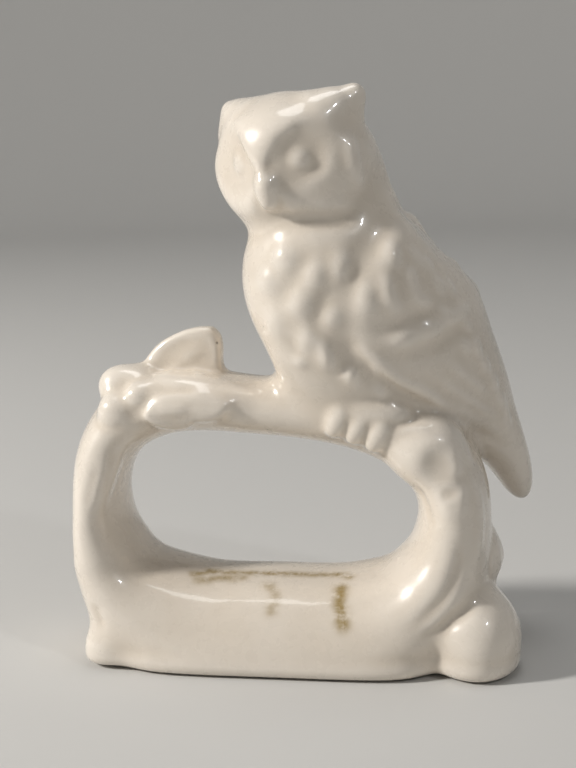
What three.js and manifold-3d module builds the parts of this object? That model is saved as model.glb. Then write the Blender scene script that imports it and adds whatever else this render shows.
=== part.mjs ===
// Porcelain owl napkin ring: an owl perched on a bough that closes on itself as an oval ring, with a spray
// of leaves and berries at the far shoulder. Each hand-built clay piece is a solid of its own, and a hairline
// seam is left where two pieces are stuck together. Millimetres, +Z up. The napkin goes through along Y, the
// owl looks towards -Y, and the origin is on the table at the middle of the ring's foot.
import * as THREE from "three";
import { mergeVertices } from "three/addons/utils/BufferGeometryUtils.js";
import Module from "manifold-3d";

const wasm = await Module();
wasm.setup();

const { degToRad } = THREE.MathUtils;
const UP = new THREE.Vector3(0, 0, 1);
const ALONG_NAPKIN = new THREE.Vector3(0, 1, 0);
const ALONG_PERCH = new THREE.Vector3(1, 0, 0);

// Driving dimensions
const SEAM = 0.3; // gap at every stuck joint
const TABLE = 120; // size of the block that trims the underside flat
const BODY_TURN = degToRad(-55); // way the breast faces, from -Y towards +X
const HEAD_TURN = degToRad(-17); // way the face looks
const HEAD_TILT = degToRad(4); // the head's left side is held a little higher
const HEAD_CENTRE = [0.4, -3.0, 72.6];
const HEAD_RADII = [11.8, 11.2, 9.9]; // to the side, to the front, up
const CROWN = 8.9; // the head's flat top, above its centre
const EYE_SPREAD = degToRad(27); // from the middle of the face to one eye
const EYE_RISE = 1.2; // above the head's centre
const EYE_RADIUS = 2.1;
const EYE_SUNK = 0.9; // how far an eyeball's centre lies inside the head
const MIDDLE = 4.9; // the body's plane of symmetry, to the owl's left of the origin
const WING_REACH = 30; // how far the block that cuts out a wing runs sideways
const LEAF_RELIEF = 1.3; // how far a leaf pressed on the bough stands off it
const LEAF_BOW = 0.14; // how far a leaf's edge bows out between two points, as a share of its length
const LEAF_THICKNESS = 1.4;

const glaze = new THREE.MeshStandardMaterial({ color: 0xe9e2d6, roughness: 0.12, metalness: 0 });

// Half thickness in the ring's plane, then half depth along the napkin's way, clockwise from the foot's
// middle.
const RING = run([
  [-4, 0, 3.6, 9.6, 12.4],
  [-15, 0, 3.9, 9.5, 12.4],
  [-25.4, 0, 8.2, 8.0, 12.0],
  [-30.4, 0, 16.0, 5.0, 11.0],
  [-31.0, 0, 24.0, 3.8, 10.0],
  [-29.2, 0, 31.5, 4.2, 9.0],
  [-24.6, 0, 36.8, 4.6, 8.2],
  [-17, 0, 38.5, 4.6, 7.4],
  [-8, 0, 38.0, 4.3, 7.0],
  [2, 0, 37.2, 4.4, 7.0],
  [10.4, 0, 35.6, 4.7, 7.4],
  [17.6, 0, 32.4, 5.2, 8.6],
  [21.6, 0, 26.6, 5.2, 9.4],
  [22.1, 0, 20.6, 5.4, 10.2],
  [20.6, 0, 13.6, 6.6, 11.2],
  [15.6, 0, 7.2, 8.6, 12.2],
  [7, 0, 3.9, 9.5, 12.4],
], true);
const [LEFT_FOOT, LEFT_SHOULDER, RIGHT_SHOULDER, RIGHT_FOOT] = [3, 6, 11, 14].map((n) => n / RING.spans);

// Swellings of the bough: centre, radii.
const ROOTS = {
  root_left: [[-28.6, -3.4, 2.4], [6.0, 8.4, 5.2]],
  root_right: [[25.6, -3.2, 4.4], [6.4, 9.2, 7.2]],
};
const STUB = [[18.6, -6.0, 32.2], [4.9, 4.2, 4.6]];
const BURL = [
  [25.2, 1.5, 20.5, 2, 3],
  [26.0, 1.5, 15.2, 3.4, 5],
  [25.4, 1.5, 10.8, 2, 3.5],
];

// Body stations: place, half length from breast to back, half width.
const BODY = [
  [22.0, 8.2, 34.5, 5.0, 4.6],
  [18.4, 5.6, 38.8, 9.6, 7.4],
  [12.6, 2.9, 43.2, 13.0, 9.8],
  [8.9, 0.9, 48.8, 14.6, 10.6],
  [6.7, -0.5, 54.5, 14.6, 10.6],
  [5.3, -1.5, 60.5, 13.4, 10.4],
  [4.6, -2.2, 66, 11.2, 10.0],
  [3.4, -2.8, 71, 9.0, 9.0],
];

// The folded wings are cut from a thick skin over the body. Stations: how far back, height, half length,
// half width.
const MANTLE = [
  [33.6, 27.0, 2.4, 3.4],
  [30.4, 31.2, 4.6, 5.4],
  [26.4, 35.2, 7.2, 7.6],
  [21.6, 39.4, 10.2, 9.8],
  [16.6, 43.8, 13.0, 11.8],
  [12.3, 49.0, 14.5, 12.6],
  [8.4, 54.5, 14.4, 12.6],
  [4.3, 60.5, 12.7, 12.1],
  [1.6, 65.5, 10.0, 10.8],
  [-0.4, 70.0, 8.0, 8.0],
];

// A folded wing's outline from the side: how far back, height. Behind, it runs past the mantle.
const WING = [[5.6, 61.5], [2.2, 57.5], [1.2, 52.5], [2.2, 48.2], [5.1, 44.8], [9.4, 41.4], [16.3, 37.6],
  [24.1, 34.0], [28.6, 30.6], [40, 30.6], [40, 65], [12, 65.2], [8, 64.4]];

const TAIL = [
  [23.4, 8.8, 36.8, 4.2, 6.0],
  [27.3, 11.0, 31.2, 3.6, 5.4],
  [30.3, 12.6, 26.2, 2.7, 4.4],
  [31.6, 13.3, 22.2, 2.0, 3.0],
];

// An ear's tip: the owl's side, how far to that side of the head's centre, how far up.
const EARS = { ear_left: [1, 10.4, 10.3], ear_right: [-1, 9.7, 10.0] };

const TOES = [5.9, 8.7, 11.5]; // where along the perch the near foot's toes lie
const FAR_FOOT = -6; // the far foot stands this much further along

const BERRIES = {
  berry_front: [[-26.4, -6.4, 38.0], 2.5],
  berry_middle: [[-22.9, -6.7, 40.2], 1.7],
  berry_top: [[-26.7, -3.2, 41.0], 2.9],
};

// Leaf outlines seen from the front: along, up.
const UPRIGHT_LEAF = [[-23.4, 40.5], [-22.6, 45.2], [-18.9, 48.1], [-12.9, 49.4], [-11.6, 47.8],
  [-11.4, 41.5], [-17, 37.5], [-23.4, 40.5]];
const PERCH_LEAF = [[-21.5, 37.6], [-19.6, 39.8], [-15.2, 40.4], [-9.6, 39.0], [-11.6, 37.2], [-14.6, 37.0],
  [-16.0, 35.4], [-19.0, 35.6], [-21.5, 37.6]];
const HANGING_LEAF = [[-28.4, 34.6], [-27.8, 30.6], [-29.4, 26.4], [-32.6, 21.6], [-34.6, 24.6],
  [-34.2, 29.4], [-32.2, 33.0], [-28.4, 34.6]];

// ---- from three.js geometry to solids and back ----

// The closed solid inside a three.js geometry.
function solid(geometry) {
  const bare = geometry.clone();
  for (const name of Object.keys(bare.attributes)) if (name !== "position") bare.deleteAttribute(name);
  const merged = mergeVertices(bare, 1e-4);
  return new wasm.Manifold(
    new wasm.Mesh({
      numProp: 3,
      vertProperties: new Float32Array(merged.attributes.position.array),
      triVerts: new Uint32Array(merged.index.array),
    }),
  );
}

// A named mesh of a solid.
function piece(name, made) {
  const { numProp, vertProperties, triVerts } = made.getMesh();
  const geometry = new THREE.BufferGeometry();
  geometry.setAttribute("position", new THREE.BufferAttribute(vertProperties, numProp));
  geometry.setIndex(new THREE.BufferAttribute(triVerts, 1));
  geometry.computeVertexNormals();
  const mesh = new THREE.Mesh(geometry, glaze);
  mesh.name = name;
  return mesh;
}

// The same geometry with each vertex moved by a function.
function reshaped(geometry, move) {
  const p = geometry.attributes.position;
  const v = new THREE.Vector3();
  for (let i = 0; i < p.count; i++) {
    move(v.fromBufferAttribute(p, i));
    p.setXYZ(i, v.x, v.y, v.z);
  }
  return geometry;
}

const joined = (...solids) => solids.reduce((a, b) => a.add(b));

// What is left of a solid, without the crumbs that a cut may leave beside its main body.
function cut(from, ...solids) {
  const left = solids.reduce((a, b) => a.subtract(b), from);
  return left.decompose().sort((a, b) => b.volume() - a.volume())[0];
}

// ---- basic forms ----

// The way something faces when it is turned from -Y, and its own left then.
function facing(turn) {
  return new THREE.Vector3(Math.sin(turn), -Math.cos(turn), 0);
}
function leftOf(turn) {
  return new THREE.Vector3(Math.cos(turn), Math.sin(turn), 0);
}

function ellipsoid(centre, radii, { around = 16, up = 10, grow = 0 } = {}) {
  const ball = new THREE.SphereGeometry(1, around, up).rotateX(Math.PI / 2);
  return ball.scale(...radii.map((r) => r + grow)).translate(...centre);
}

// A smooth run through stations [x, y, z, across, deep]: where it is, and its two half widths there.
function run(stations, closed = false) {
  const curve = (points) => new THREE.CatmullRomCurve3(points, closed, "catmullrom", 0.5);
  return {
    line: curve(stations.map(([x, y, z]) => new THREE.Vector3(x, y, z))),
    widths: curve(stations.map(([, , , across, deep]) => new THREE.Vector3(across, deep, 0))),
    spans: closed ? stations.length : stations.length - 1,
  };
}

// A point on a run's oval section, at an angle round it. deepWay is the way that the second half width lies.
function onRun({ line, widths }, t, angle, swell, deepWay, grow) {
  const tangent = line.getTangent(t);
  const deep = deepWay.clone().addScaledVector(tangent, -deepWay.dot(tangent)).normalize();
  const across = new THREE.Vector3().crossVectors(deep, tangent);
  const size = widths.getPoint(t);
  return line
    .getPoint(t)
    .addScaledVector(across, (size.x + grow) * swell * Math.cos(angle))
    .addScaledVector(deep, (size.y + grow) * swell * Math.sin(angle));
}

// A stretch of the ring with flat ends, from t0 to t1, half a seam short of each.
function stretch(t0, t1, { around = 20, steps = 12, grow = 0 } = {}) {
  const speed = (t) => RING.line.getPoint(t + 1e-3).distanceTo(RING.line.getPoint(t - 1e-3)) / 2e-3;
  const from = t0 + SEAM / 2 / speed(t0);
  const to = t1 - SEAM / 2 / speed(t1);
  const tube = new THREE.CylinderGeometry(1, 1, 1, around, steps);
  return reshaped(tube, (v) => {
    const t = (from + (0.5 - v.y) * (to - from) + 1) % 1;
    v.copy(onRun(RING, t, Math.atan2(v.z, v.x), Math.hypot(v.x, v.z), ALONG_NAPKIN, grow));
  });
}

// A whole run with round ends. fullness 2 tapers like an egg, more stays thick for longer.
function limb(stations, { around = 12, steps = 10, deepWay = UP, grow = 0, fullness = 2.6 } = {}) {
  const path = run(stations);
  const ball = new THREE.SphereGeometry(1, around, steps);
  return reshaped(ball, (v) => {
    const lean = Math.sqrt(Math.max(0, 1 - v.y * v.y));
    const along = (1 - Math.sign(v.y) * Math.sin(Math.acos(lean))) / 2;
    const swell = (1 - Math.abs(2 * along - 1) ** fullness) ** (1 / fullness);
    const atPole = Math.hypot(v.x, v.z) < 1e-6;
    v.copy(onRun(path, along, Math.atan2(v.z, v.x), atPole ? 0 : swell, deepWay, atPole ? 0 : grow));
  });
}

const belowTable = solid(new THREE.BoxGeometry(TABLE, TABLE, TABLE).translate(0, 0, -TABLE / 2));

// ---- the bough that closes as a ring ----

const foot = (grow = 0) =>
  cut(solid(stretch(RIGHT_FOOT - 1, LEFT_FOOT, { steps: 22, around: 24, grow })), belowTable);
const boughLeft = (grow = 0) => solid(stretch(LEFT_FOOT, LEFT_SHOULDER, { steps: 10, grow }));
const perch = (grow = 0) => solid(stretch(LEFT_SHOULDER, RIGHT_SHOULDER, { steps: 16, grow }));
const boughRight = (grow = 0) => solid(stretch(RIGHT_SHOULDER, RIGHT_FOOT, { steps: 11, grow }));
const ring = (grow) => joined(foot(grow), boughLeft(grow), perch(grow), boughRight(grow));

const root = (name, grow = 0) => cut(solid(ellipsoid(...ROOTS[name], { grow, around: 18 })), belowTable);
const burl = () => solid(limb(BURL, { deepWay: ALONG_NAPKIN }));
const stub = (grow = 0) => solid(ellipsoid(...STUB, { grow }));

// ---- the owl's head ----

const head = { front: facing(HEAD_TURN) };
head.side = leftOf(HEAD_TURN).applyAxisAngle(head.front, HEAD_TILT);
head.up = UP.clone().applyAxisAngle(head.front, HEAD_TILT);

// A point of the head, given to its left, to its front and up from its centre.
function inHead(side, front, up) {
  return new THREE.Vector3(...HEAD_CENTRE)
    .addScaledVector(head.side, side)
    .addScaledVector(head.front, front)
    .addScaledVector(head.up, up)
    .toArray();
}

// A ball with a flattened crown, a little narrower above and below than at the cheeks.
function skull(grow = 0) {
  const ball = ellipsoid([0, 0, 0], HEAD_RADII, { around: 28, up: 18, grow });
  const shoulder = CROWN + grow - 1.5; // the crown starts to flatten here
  reshaped(ball, (v) => {
    if (v.z > shoulder) v.z = (v.z + shoulder) / 2;
    v.x *= 1 - (v.z < 0 ? -0.008 : 0.0032) * v.z;
  });
  return solid(ball.rotateY(-HEAD_TILT).rotateZ(HEAD_TURN).translate(...HEAD_CENTRE));
}

// An ear tuft leans out and rises to a blunt point.
function ear(name) {
  const [hand, spread, rise] = EARS[name];
  const stations = [
    [...inHead(hand * 5.0, 0.4, 5.2), 4.6, 3.8],
    [...inHead(hand * 7.3, 0.6, 7.9), 3.6, 3.2],
    [...inHead(hand * spread, 0.2, rise), 1.2, 1.2],
  ];
  return solid(limb(stations, { around: 14, deepWay: head.front }));
}

// An eyeball, set in the head's surface to one side of the face.
function eye(hand) {
  const level = Math.sqrt(1 - (EYE_RISE / HEAD_RADII[2]) ** 2);
  const side = Math.sin(hand * EYE_SPREAD) * (HEAD_RADII[0] * level - EYE_SUNK);
  const front = Math.cos(hand * EYE_SPREAD) * (HEAD_RADII[1] * level - EYE_SUNK);
  return solid(new THREE.SphereGeometry(EYE_RADIUS, 14, 10).translate(...inHead(side, front, EYE_RISE)));
}

const beak = () =>
  solid(limb([
    [...inHead(0, 10.4, 0.8), 0.9, 0.9],
    [...inHead(0, 11.6, -1.8), 1.6, 1.9],
    [...inHead(0, 11.0, -5.2), 0.7, 0.8],
  ], { around: 10, deepWay: head.side }));

// ---- the owl's body ----

const breast = { side: leftOf(BODY_TURN), back: facing(BODY_TURN).negate() };

// A point of the body, given how far back, to the owl's left and up it is from the origin.
function inBody(back, side, up) {
  return new THREE.Vector3(0, 0, up).addScaledVector(breast.back, back).addScaledVector(breast.side, side);
}

const trunk = (grow = 0) =>
  solid(limb(BODY, { around: 28, steps: 22, deepWay: breast.side, grow, fullness: 3.4 }));
const tail = (grow = 0) =>
  solid(limb(TAIL, { around: 16, steps: 12, deepWay: breast.side, grow, fullness: 3.4 }));

const mantle = solid(limb(
  MANTLE.map(([back, up, long, wide]) => [...inBody(back, MIDDLE, up), long, wide]),
  { around: 30, steps: 24, deepWay: breast.side, fullness: 3.4 },
));

// The part of the mantle inside the wing's outline, on one side of the owl.
function wing(hand) {
  const outline = new THREE.Shape(WING.map(([back, up]) => new THREE.Vector2(back, up)));
  const block = new THREE.ExtrudeGeometry(outline, { depth: WING_REACH, bevelEnabled: false });
  const start = MIDDLE + (hand > 0 ? SEAM / 2 : -SEAM / 2 - WING_REACH);
  return solid(reshaped(block, (v) => v.copy(inBody(v.x, start + v.z, v.y)))).intersect(mantle);
}

// One toe that curls down over the side of the bough, which falls away to the right.
function toe(x, side) {
  const drop = 0.35 * (x - TOES[0]);
  return solid(limb([
    [x + 1.8, side * 5.0, 40.2 - drop, 1.4, 1.3],
    [x + 0.8, side * 7.2, 38.0 - drop, 1.5, 1.4],
    [x - 0.9, side * 7.0, 34.6 - drop, 1.1, 1.3],
  ], { around: 10, steps: 8, deepWay: ALONG_PERCH }));
}

// A foot on one side of the bough: -1 is the near side.
function claw(side) {
  const along = side > 0 ? FAR_FOOT : 0;
  const ankle = solid(ellipsoid([10.6 + along, side * 6.6, 38 - 0.2 * along], [5.4, 1.9, 2.0]));
  return joined(ankle, ...TOES.map((x) => toe(x + along, side)));
}

// ---- the spray of leaves and berries ----

// An outline whose edges bow out between its points.
function leafShape(points) {
  const shape = new THREE.Shape();
  shape.moveTo(...points[0]);
  for (let i = 1; i < points.length; i++) {
    const [x0, y0] = points[i - 1];
    const [x1, y1] = points[i];
    const bowX = (y0 - y1) * LEAF_BOW;
    const bowY = (x1 - x0) * LEAF_BOW;
    shape.quadraticCurveTo((x0 + x1) / 2 + bowX, (y0 + y1) / 2 + bowY, x1, y1);
  }
  return shape;
}

// A leaf pressed flat on the near side of the bough.
function pressedLeaf(points) {
  const reach = 13;
  const flat = { depth: reach, bevelEnabled: false, curveSegments: 4 };
  const block = new THREE.ExtrudeGeometry(leafShape(points), flat).rotateX(Math.PI / 2).translate(0, -1, 0);
  return solid(block).intersect(ring(LEAF_RELIEF));
}

// The leaf that stands up behind the perch's edge, its blade curled forward at the middle.
function uprightLeaf(grow = 0) {
  const blade = new THREE.ExtrudeGeometry(leafShape(UPRIGHT_LEAF), {
    depth: LEAF_THICKNESS, bevelThickness: 0.9 + grow, bevelSize: 0.7 + grow, bevelOffset: -0.7,
    bevelSegments: 2, curveSegments: 3,
  });
  blade.rotateX(Math.PI / 2).translate(0, 0.3, 0);
  return solid(reshaped(blade, (v) => (v.y += 0.016 * (v.x + 17) ** 2)));
}

const berry = (name, grow = 0) => {
  const [centre, radius] = BERRIES[name];
  return solid(ellipsoid(centre, [radius, radius, radius], { grow }));
};

// ---- the pieces, each cut to leave a seam to those made before it ----

const owl = new THREE.Group();
const ringSeat = ring(SEAM);
const bodySeat = joined(trunk(SEAM), skull(SEAM), ringSeat, stub(SEAM));

owl.add(piece("base", foot()), piece("bough_left", boughLeft()));
owl.add(piece("bough_perch", perch()), piece("bough_right", boughRight()));
for (const name of Object.keys(ROOTS)) owl.add(piece(name, cut(root(name), ringSeat)));
owl.add(piece("bark_burl", cut(burl(), ringSeat, root("root_right", SEAM))));
owl.add(piece("branch_stub", cut(stub(), ringSeat)));

owl.add(piece("owl_head", skull()));
for (const name of Object.keys(EARS)) owl.add(piece(name, cut(ear(name), skull(SEAM))));
for (const [name, hand] of [["eye_left", 1], ["eye_right", -1]])
  owl.add(piece(name, cut(eye(hand), skull(SEAM))));
owl.add(piece("beak", cut(beak(), skull(SEAM), trunk(SEAM))));

owl.add(piece("owl_body", cut(trunk(), ringSeat, skull(SEAM), stub(SEAM))));
owl.add(piece("tail", cut(tail(), bodySeat)));
for (const [name, hand] of [["wing_left", 1], ["wing_right", -1]])
  owl.add(piece(name, cut(wing(hand), bodySeat, tail(SEAM))));
for (const [name, side] of [["foot_left", -1], ["foot_right", 1]])
  owl.add(piece(name, cut(claw(side), bodySeat)));

const spraySeats = [ringSeat];
for (const name of Object.keys(BERRIES)) {
  owl.add(piece(name, cut(berry(name), ...spraySeats)));
  spraySeats.push(berry(name, SEAM));
}
owl.add(piece("leaf_upright", cut(uprightLeaf(), ...spraySeats)));
spraySeats.push(uprightLeaf(SEAM));
owl.add(piece("leaf_perch", cut(pressedLeaf(PERCH_LEAF), ...spraySeats)));
owl.add(piece("leaf_hanging", cut(pressedLeaf(HANGING_LEAF), ...spraySeats)));

export default owl;
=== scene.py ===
"""A glazed porcelain napkin ring: an owl perched on a looped branch, on its own low base.

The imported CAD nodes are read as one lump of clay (a signed distance field in millimetres). Their joins are
blended the way slip softens them, the features are modelled into that lump, and its skin is cut back into
one closed piece for each CAD node.
"""

import math

import bpy
import numpy as np
import openvdb
from mathutils import Matrix, Vector


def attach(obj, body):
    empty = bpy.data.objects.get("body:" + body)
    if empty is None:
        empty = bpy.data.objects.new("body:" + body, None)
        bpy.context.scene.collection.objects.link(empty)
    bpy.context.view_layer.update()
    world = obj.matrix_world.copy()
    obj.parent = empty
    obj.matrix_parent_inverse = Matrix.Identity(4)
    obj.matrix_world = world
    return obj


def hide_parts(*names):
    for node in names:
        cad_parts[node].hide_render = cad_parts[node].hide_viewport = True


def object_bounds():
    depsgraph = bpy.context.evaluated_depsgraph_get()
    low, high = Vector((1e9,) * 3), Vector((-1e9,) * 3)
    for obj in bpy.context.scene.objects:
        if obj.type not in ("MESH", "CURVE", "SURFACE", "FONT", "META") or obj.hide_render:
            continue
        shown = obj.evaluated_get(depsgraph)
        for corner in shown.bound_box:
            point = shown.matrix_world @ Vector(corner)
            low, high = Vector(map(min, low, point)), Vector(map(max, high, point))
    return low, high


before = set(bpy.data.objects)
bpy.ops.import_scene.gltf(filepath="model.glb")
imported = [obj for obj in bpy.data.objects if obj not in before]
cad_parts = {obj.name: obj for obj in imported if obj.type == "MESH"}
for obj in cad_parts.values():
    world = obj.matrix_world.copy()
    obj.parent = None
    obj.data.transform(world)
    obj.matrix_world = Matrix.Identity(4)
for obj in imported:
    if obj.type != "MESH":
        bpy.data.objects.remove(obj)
CAD_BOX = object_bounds()

# One millimetre in metres. Everything up to the finished meshes is worked out in millimetres.
MM = 0.001
VOXEL = 0.25
# Empty clay kept round the CAD box, and how far distances are known from a skin, in cells and in millimetres.
PAD = 2.0
BAND = 12.0
FAR = BAND * VOXEL


# ---------------------------------------------------------------------------------------------- the field


def mesh_of(node):
    """A CAD node's vertices in millimetres and its triangles."""
    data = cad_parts[node].data
    spots = np.zeros(len(data.vertices) * 3, np.float32)
    data.vertices.foreach_get("co", spots)
    data.calc_loop_triangles()
    corners = np.zeros(len(data.loop_triangles) * 3, np.int32)
    data.loop_triangles.foreach_get("vertices", corners)
    return spots.reshape(-1, 3) / MM, corners.reshape(-1, 3).astype(np.uint32)


class Clay:
    """The figurine as distances to its skin on a grid, and the CAD node that each cell is nearest to."""

    def __init__(self, low, high):
        self.first = np.floor((np.array(low) / MM - PAD) / VOXEL).astype(int)
        last = np.ceil((np.array(high) / MM + PAD) / VOXEL).astype(int)
        self.shape = tuple(last - self.first + 1)
        self.gap = np.full(self.shape, FAR, np.float32)
        self.near = np.full(self.shape, FAR * 2, np.float32)
        self.owner = np.zeros(self.shape, np.uint8)
        self.names = []

    def window(self, low, high):
        """Index slices of the box from low to high, in millimetres, and its x, y and z grids."""
        a = np.clip(np.floor(np.array(low) / VOXEL).astype(int) - self.first, 0, self.shape)
        b = np.clip(np.ceil(np.array(high) / VOXEL).astype(int) - self.first + 1, 0, self.shape)
        lines = [(np.arange(a[i], b[i]) + self.first[i]) * VOXEL for i in range(3)]
        grids = np.meshgrid(*[line.astype(np.float32) for line in lines], indexing="ij", sparse=True)
        return tuple(slice(a[i], b[i]) for i in range(3)), grids

    def join(self, node, blend):
        """Adds a CAD node, its joins rounded over about blend millimetres."""
        spots, corners = mesh_of(node)
        steps = openvdb.createLinearTransform(voxelSize=VOXEL)
        level = openvdb.FloatGrid.createLevelSetFromPolygons(
            spots, triangles=corners, transform=steps, halfWidth=BAND
        )
        where, _ = self.window(spots.min(0) - FAR, spots.max(0) + FAR)
        own = np.zeros([s.stop - s.start for s in where], np.float32)
        start = [int(s.start + f) for s, f in zip(where, self.first)]
        level.copyToArray(own, ijk=tuple(start))
        self.names.append(node)
        closer = own < self.near[where]
        self.near[where] = np.where(closer, own, self.near[where])
        self.owner[where] = np.where(closer, len(self.names) - 1, self.owner[where])
        self.gap[where] = soft_min(self.gap[where], own, blend)

    def mark(self, node, form, grow=0.5):
        """Gives a CAD node's name to the clay in and just around a form that stands for it."""
        if node not in self.names:
            self.names.append(node)
        where, grids = self.window(form.low - 1.0, form.high + 1.0)
        inside = form.gap(*grids) < grow
        self.owner[where] = np.where(inside, self.names.index(node), self.owner[where])

    def blur(self, cells):
        """Three running averages along each axis: rounds off facets wider than soften can."""
        half = cells // 2
        for axis in range(3):
            for _ in range(3):
                sides = [(0, 0)] * 3
                sides[axis] = (half + 1, half)
                sums = np.cumsum(np.pad(self.gap, sides, mode="edge"), axis=axis, dtype=np.float64)
                high = np.take(sums, range(cells, sums.shape[axis]), axis=axis)
                low = np.take(sums, range(sums.shape[axis] - cells), axis=axis)
                self.gap = ((high - low) / cells).astype(np.float32)

    def add(self, form, blend):
        where, grids = self.window(form.low - FAR, form.high + FAR)
        self.gap[where] = soft_min(self.gap[where], form.gap(*grids), blend)

    def carve(self, form, blend):
        where, grids = self.window(form.low - FAR, form.high + FAR)
        self.gap[where] = -soft_min(-self.gap[where], form.gap(*grids), blend)

    def soften(self, passes):
        """Rounds off facets and hard edges, as a coat of glaze does."""
        for _ in range(passes):
            for axis in range(3):
                ahead = np.roll(self.gap, -1, axis)
                behind = np.roll(self.gap, 1, axis)
                self.gap = 0.5 * self.gap + 0.25 * (ahead + behind)

    def sample(self, spots):
        """Trilinear distance at each spot, in millimetres."""
        at = spots / VOXEL - self.first
        at = np.clip(at, 0, np.array(self.shape) - 1.001)
        low = at.astype(int)
        part = at - low
        total = np.zeros(len(spots), np.float32)
        for corner in np.ndindex(2, 2, 2):
            share = np.prod(np.where(corner, part, 1 - part), axis=1)
            total += share * self.gap[tuple((low + corner).T)]
        return total

    def slope(self, spots):
        """Unit direction in which the distance grows."""
        made = np.zeros_like(spots)
        for axis in range(3):
            step = np.zeros(3)
            step[axis] = VOXEL
            made[:, axis] = self.sample(spots + step) - self.sample(spots - step)
        return made / np.maximum(np.linalg.norm(made, axis=1, keepdims=True), 1e-9)

    def skin(self):
        """The surface as vertices in millimetres and quads that face out."""
        level = openvdb.FloatGrid(FAR)
        level.transform = openvdb.createLinearTransform(voxelSize=VOXEL)
        level.copyFromArray(np.clip(self.gap, -FAR, FAR), ijk=tuple(int(f) for f in self.first))
        spots, quads = level.convertToQuads(isovalue=0.0)
        spots = spots.astype(float)
        for _ in range(2):
            spots -= self.sample(spots)[:, None] * self.slope(spots)
        return spots, quads.astype(np.int64)


def soft_min(a, b, blend):
    """The smaller of two distances, rounded where they meet."""
    overlap = np.maximum(blend - np.abs(a - b), 0) / blend
    return np.minimum(a, b) - overlap * overlap * (blend * 0.25)


# -------------------------------------------------------------------------------------------------- forms


class Egg:
    """An ellipsoid: centre, three half sizes, and the three directions that they lie along."""

    def __init__(self, centre, sizes, axes=None):
        self.centre = np.array(centre, float)
        self.sizes = np.array(sizes, float)
        self.axes = np.eye(3) if axes is None else np.array(axes, float)
        self.low = self.centre - self.sizes.max()
        self.high = self.centre + self.sizes.max()

    def gap(self, x, y, z):
        dx, dy, dz = (g - c for g, c in zip((x, y, z), self.centre))
        near = far = 0
        for size, axis in zip(self.sizes, self.axes):
            along = (dx * axis[0] + dy * axis[1] + dz * axis[2]) / size
            near = near + along * along
            far = far + along * along / (size * size)
        return (near - np.sqrt(near)) / np.maximum(np.sqrt(far), 1e-6)


class Horn:
    """A round bar from one point to another, thicker at one end."""

    def __init__(self, start, end, thick, thin):
        self.start = np.array(start, float)
        self.end = np.array(end, float)
        self.thick = thick
        self.thin = thin
        self.low = np.minimum(self.start, self.end) - max(thick, thin)
        self.high = np.maximum(self.start, self.end) + max(thick, thin)

    def gap(self, x, y, z):
        run = self.end - self.start
        dx, dy, dz = (g - c for g, c in zip((x, y, z), self.start))
        along = np.clip((dx * run[0] + dy * run[1] + dz * run[2]) / (run @ run), 0, 1)
        off = [d - along * r for d, r in zip((dx, dy, dz), run)]
        reach = np.sqrt(off[0] ** 2 + off[1] ** 2 + off[2] ** 2)
        return reach - (self.thick + (self.thin - self.thick) * along)


class Place:
    """A local frame: where it sits and its side, front and up directions."""

    def __init__(self, centre, turn, tilt):
        turn, tilt = math.radians(turn), math.radians(tilt)
        self.centre = np.array(centre, float)
        side = np.array([math.cos(turn), math.sin(turn), 0.0])
        up = np.array([0.0, 0.0, 1.0])
        self.side = side * math.cos(tilt) + up * math.sin(tilt)
        self.front = np.array([math.sin(turn), -math.cos(turn), 0.0])
        self.up = up * math.cos(tilt) - side * math.sin(tilt)
        self.axes = (self.side, self.front, self.up)

    def at(self, side, front, up):
        return self.centre + side * self.side + front * self.front + up * self.up


def toward(place, aim):
    """Directions across, out along and up from an aim given as side, front and up of a place."""
    out = np.array(aim, float) / np.linalg.norm(aim)
    across = np.cross(out, (0, 0, 1.0))
    across /= np.linalg.norm(across)
    rise = np.cross(across, out)
    basis = np.array(place.axes)
    return [across @ basis, out @ basis, rise @ basis]


class Cut:
    """A form kept on one side of flat cuts, each given by a point and the direction that it cuts off."""

    def __init__(self, form, *planes):
        self.form = form
        self.planes = planes
        self.low, self.high = form.low, form.high

    def gap(self, x, y, z):
        made = self.form.gap(x, y, z)
        for spot, out in self.planes:
            level = (x - spot[0]) * out[0] + (y - spot[1]) * out[1] + (z - spot[2]) * out[2]
            made = -soft_min(-made, -level, CUT_BLEND)
        return made


CUT_BLEND = 0.8


# --------------------------------------------------------------------------------------------------- clay

# CAD nodes joined first, with wide fillets, and those laid on them afterwards. The tufts, eyes, bill, hanging
# leaf and branch end are modelled here instead, and marked with their nodes' names.
MASSES = (
    "base", "bough_left", "bough_right", "bough_perch", "root_left", "root_right",
    "owl_body", "owl_head", "wing_left", "wing_right", "tail",
)
MASS_BLEND = 3.0
BLUR_CELLS = 9
DETAILS = (
    "bark_burl", "foot_left", "foot_right", "berry_front", "berry_middle", "berry_top",
    "leaf_upright", "leaf_perch",
)
DETAIL_BLEND = 1.4
SOFTEN_PASSES = 2

# The head: its middle, its turn about the upright and its lean to one side, in degrees. Places on it are
# given as side, front and up from that middle, for its left (1) and its right (-1).
HEAD = Place((0.4, -3.0, 72.6), -17.0, 4.0)
BOTH = (1, -1)
CROWN_ENDS = (6.8, 2.0, 6.9)
CROWN_MIDDLE = (0.0, 2.4, 6.3)
CROWN_ROUND = 2.6
FOREHEAD = (0.0, 4.2, 3.6)
FOREHEAD_SIZES = (7.0, 5.6, 4.6)
TUFT_ROOT = (5.6, 2.8, 6.3)
TUFT_TIPS = {1: (9.8, 0.6, 8.7), -1: (8.6, 2.0, 8.3)}
TUFT_THICK = 3.1
TUFT_ROUND = {1: 1.2, -1: 0.5}
TUFT_FOOT = {1: (9.2, 0.8, 4.8), -1: (8.4, 2.4, 5.2)}
TUFT_FOOT_ROUND = 1.5
TUFT_MARK = (8.0, 2.4, 6.6)
EARS = {1: "ear_left", -1: "ear_right"}
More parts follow.
